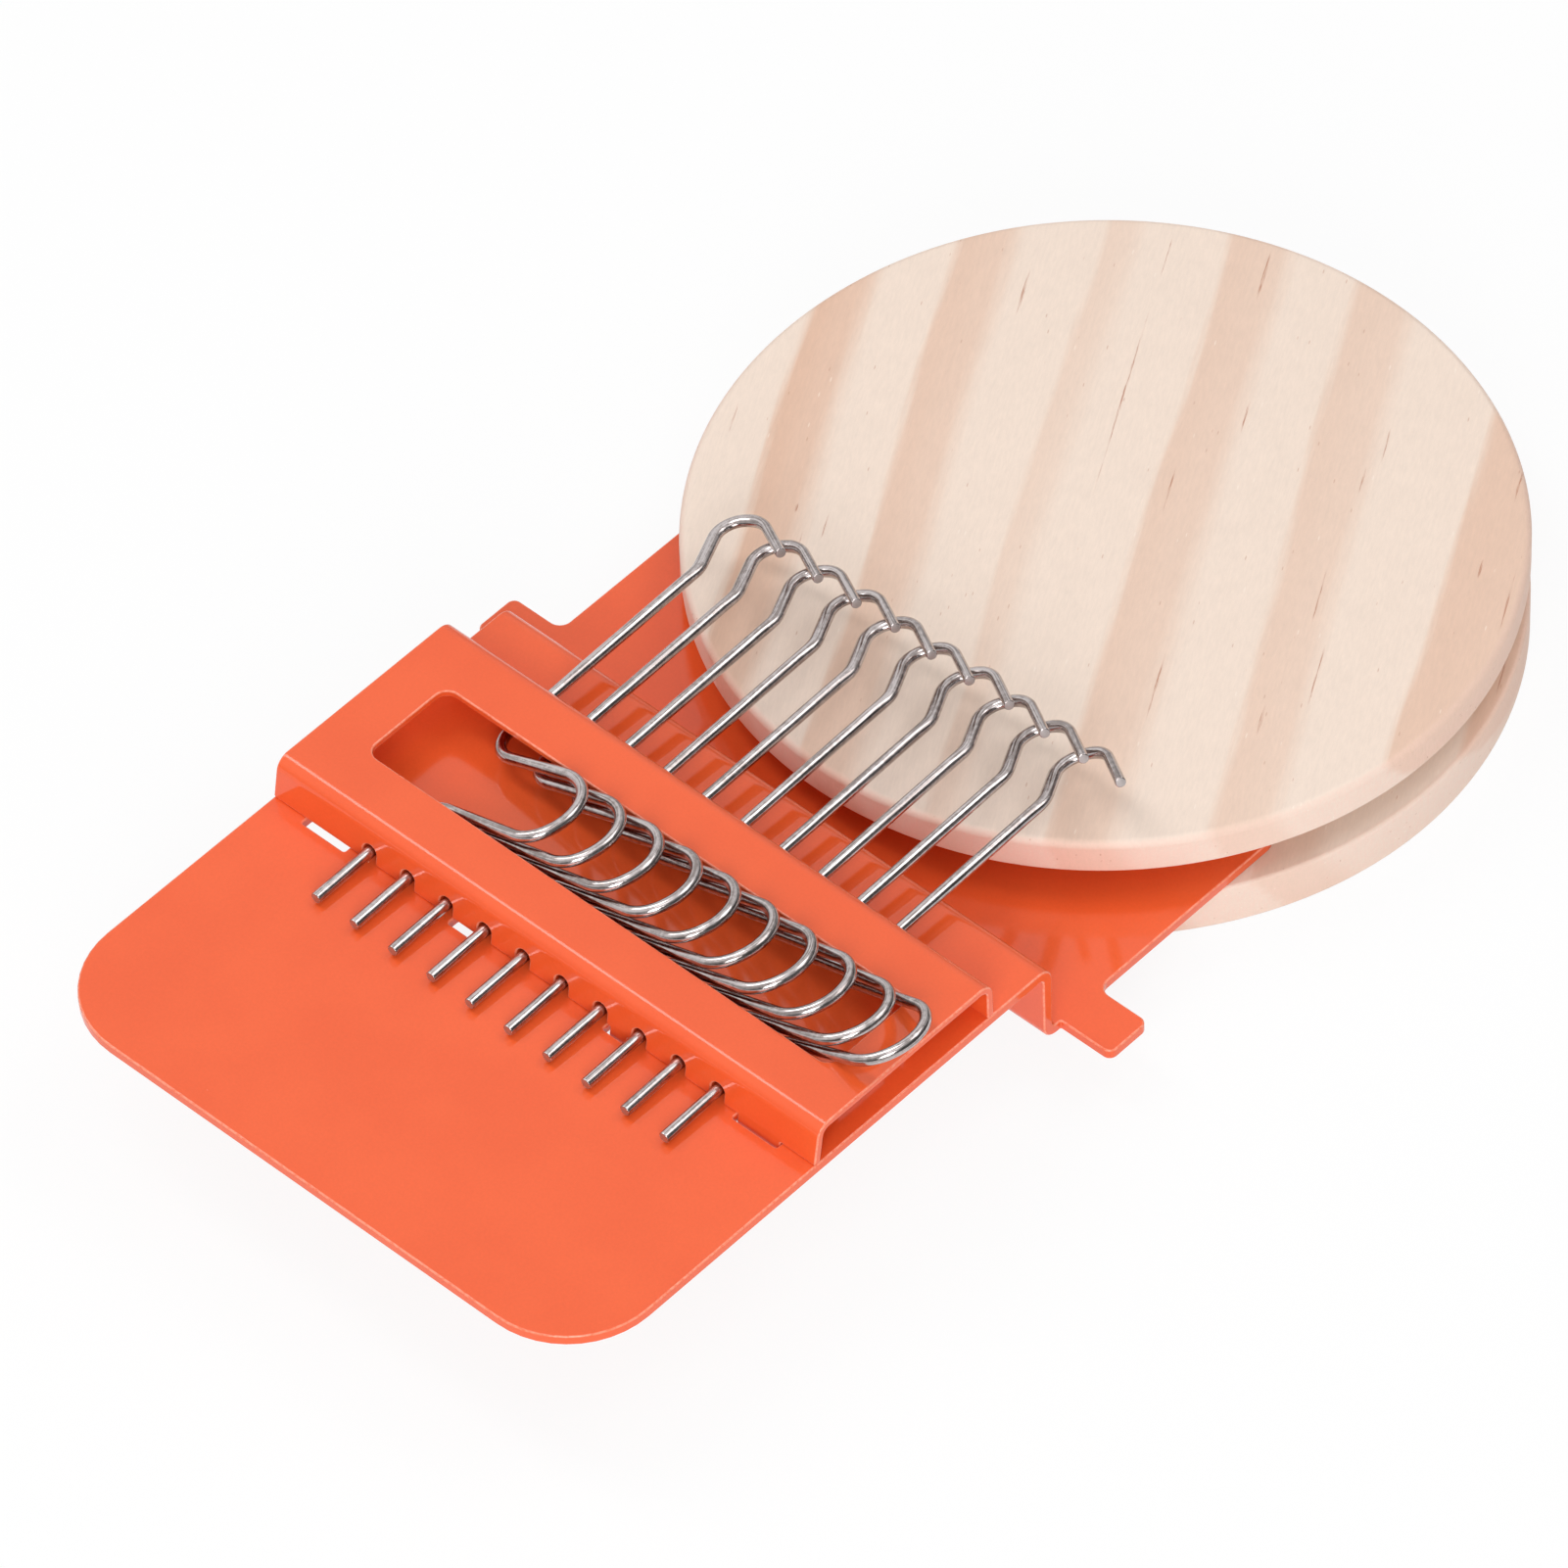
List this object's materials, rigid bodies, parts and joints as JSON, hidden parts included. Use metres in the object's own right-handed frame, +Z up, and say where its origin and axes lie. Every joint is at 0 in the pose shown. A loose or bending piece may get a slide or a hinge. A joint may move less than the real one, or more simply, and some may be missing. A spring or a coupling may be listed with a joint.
{
  "type": "hand weaving loom",
  "caption": "Hand-held darning loom: a grooved wooden disc gripped by a stepped sheet-metal frame whose bridge carries a row of wire hooks that flip from side to side.",
  "frame": {"origin": "centre of the disc's flat underside", "axes": "+Z up out of the disc's working face, -Y from the disc towards the frame, +X to the side that the cranks lean to at rest"},
  "size_m": [0.0828, 0.1542, 0.0248],
  "materials": {
    "pale_wood": "sanded",
    "orange_coat": "gloss",
    "steel_wire": "bright drawn wire"
  },
  "bodies": {
    "darning_disc": {"darning_disc": "pale_wood"},
    "hook_frame": {"base_plate": "orange_coat", "hook_bridge": "orange_coat"},
    "hook_01": {"hook_01": "steel_wire"},
    "hook_02": {"hook_02": "steel_wire"},
    "hook_03": {"hook_03": "steel_wire"},
    "hook_04": {"hook_04": "steel_wire"},
    "hook_05": {"hook_05": "steel_wire"},
    "hook_06": {"hook_06": "steel_wire"},
    "hook_07": {"hook_07": "steel_wire"},
    "hook_08": {"hook_08": "steel_wire"},
    "hook_09": {"hook_09": "steel_wire"},
    "hook_10": {"hook_10": "steel_wire"}
  },
  "joints": [
    {"name": "frame_pull_off", "type": "slide", "parent": "darning_disc", "child": "hook_frame", "axis": [0, -1, 0], "range_m": [0, 0.025]},
    {"name": "hook_01_flip", "type": "hinge", "parent": "hook_frame", "child": "hook_01", "pos_m": [-0.0225, -0.08, 0.01664], "axis": [0, -0.9992, -0.0401], "range_deg": [0, 128]},
    {"name": "hook_02_flip", "type": "hinge", "parent": "hook_frame", "child": "hook_02", "pos_m": [-0.0175, -0.08, 0.01664], "axis": [0, -0.9992, -0.0401], "range_deg": [0, 128]},
    {"name": "hook_03_flip", "type": "hinge", "parent": "hook_frame", "child": "hook_03", "pos_m": [-0.0125, -0.08, 0.01664], "axis": [0, -0.9992, -0.0401], "range_deg": [0, 128]},
    {"name": "hook_04_flip", "type": "hinge", "parent": "hook_frame", "child": "hook_04", "pos_m": [-0.0075, -0.08, 0.01664], "axis": [0, -0.9992, -0.0401], "range_deg": [0, 128]},
    {"name": "hook_05_flip", "type": "hinge", "parent": "hook_frame", "child": "hook_05", "pos_m": [-0.0025, -0.08, 0.01664], "axis": [0, -0.9992, -0.0401], "range_deg": [0, 128]},
    {"name": "hook_06_flip", "type": "hinge", "parent": "hook_frame", "child": "hook_06", "pos_m": [0.0025, -0.08, 0.01664], "axis": [0, -0.9992, -0.0401], "range_deg": [0, 128]},
    {"name": "hook_07_flip", "type": "hinge", "parent": "hook_frame", "child": "hook_07", "pos_m": [0.0075, -0.08, 0.01664], "axis": [0, -0.9992, -0.0401], "range_deg": [0, 128]},
    {"name": "hook_08_flip", "type": "hinge", "parent": "hook_frame", "child": "hook_08", "pos_m": [0.0125, -0.08, 0.01664], "axis": [0, -0.9992, -0.0401], "range_deg": [0, 128]},
    {"name": "hook_09_flip", "type": "hinge", "parent": "hook_frame", "child": "hook_09", "pos_m": [0.0175, -0.08, 0.01664], "axis": [0, -0.9992, -0.0401], "range_deg": [0, 128]},
    {"name": "hook_10_flip", "type": "hinge", "parent": "hook_frame", "child": "hook_10", "pos_m": [0.0225, -0.08, 0.01664], "axis": [0, -0.9992, -0.0401], "range_deg": [0, 128]}
  ],
  "couplings": [
    {"joint": "hook_02_flip", "follows": "hook_01_flip", "ratio": 1},
    {"joint": "hook_03_flip", "follows": "hook_01_flip", "ratio": 1},
    {"joint": "hook_04_flip", "follows": "hook_01_flip", "ratio": 1},
    {"joint": "hook_05_flip", "follows": "hook_01_flip", "ratio": 1},
    {"joint": "hook_06_flip", "follows": "hook_01_flip", "ratio": 1},
    {"joint": "hook_07_flip", "follows": "hook_01_flip", "ratio": 1},
    {"joint": "hook_08_flip", "follows": "hook_01_flip", "ratio": 1},
    {"joint": "hook_09_flip", "follows": "hook_01_flip", "ratio": 1},
    {"joint": "hook_10_flip", "follows": "hook_01_flip", "ratio": 1}
  ]
}
